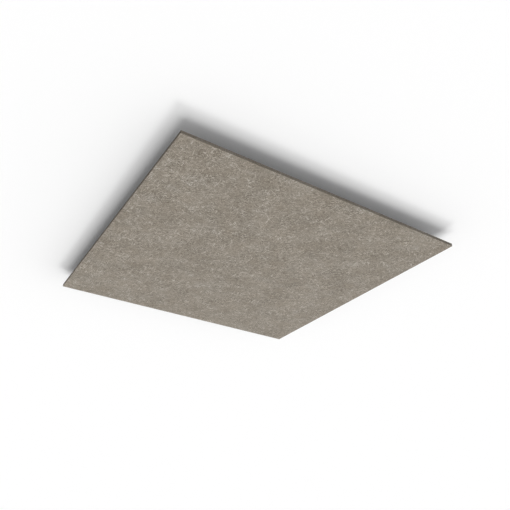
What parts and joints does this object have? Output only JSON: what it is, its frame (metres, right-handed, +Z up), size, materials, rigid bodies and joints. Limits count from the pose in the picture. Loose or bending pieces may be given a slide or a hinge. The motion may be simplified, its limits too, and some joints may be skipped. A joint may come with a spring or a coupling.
{
  "type": "suspended ceiling tile",
  "caption": "Thin square board of pressed melange felt with square-cut edges, hung flat below a ceiling as a sound-absorbing tile.",
  "frame": {"origin": "centre of the back, the face that is fixed towards the ceiling", "axes": "+Z up, out of the back towards the ceiling; X and Y along the two pairs of sides; the show face looks along -Z"},
  "size_m": [1.2, 1.2, 0.012],
  "materials": {
    "felt": "pressed melange felt"
  },
  "bodies": {
    "root": {"felt_tile": "felt"}
  },
  "joints": []
}
